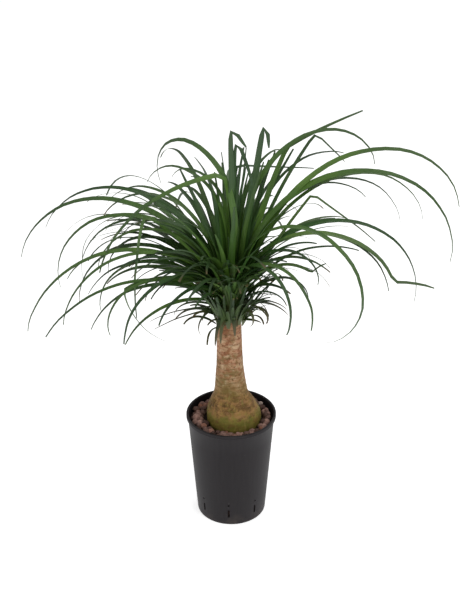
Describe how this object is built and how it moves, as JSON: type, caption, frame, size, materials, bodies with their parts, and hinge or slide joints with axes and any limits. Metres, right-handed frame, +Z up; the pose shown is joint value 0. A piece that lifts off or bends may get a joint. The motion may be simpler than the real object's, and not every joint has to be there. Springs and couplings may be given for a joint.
{
  "type": "potted ponytail palm",
  "caption": "Ponytail palm with a swollen bulb, a bare trunk and a fountain of long thin leaves, in a dark grow pot filled with clay granules.",
  "frame": {"origin": "centre of the pot's flat underside", "axes": "+Z up along the pot's axis, -Y towards the side that the picture shows, +X to the right in the picture"},
  "size_m": [0.6858, 0.4521, 0.6931],
  "materials": {
    "pot_plastic": "matt charcoal plastic with worn lighter edges",
    "fired_clay": "dry fired clay, dull red-brown, each grain a little different",
    "trunk_bark": "dry tan bark with ring scars above, smooth olive-green bulb with a cracked brown shoulder",
    "leaf_green": "dark green leaf with a satin sheen and fine lengthwise veins, grey-green at the tips"
  },
  "bodies": {
    "root": {"pot": "pot_plastic", "clay_granules": "fired_clay", "trunk": "trunk_bark", "leaf_crown": "leaf_green"}
  },
  "joints": []
}
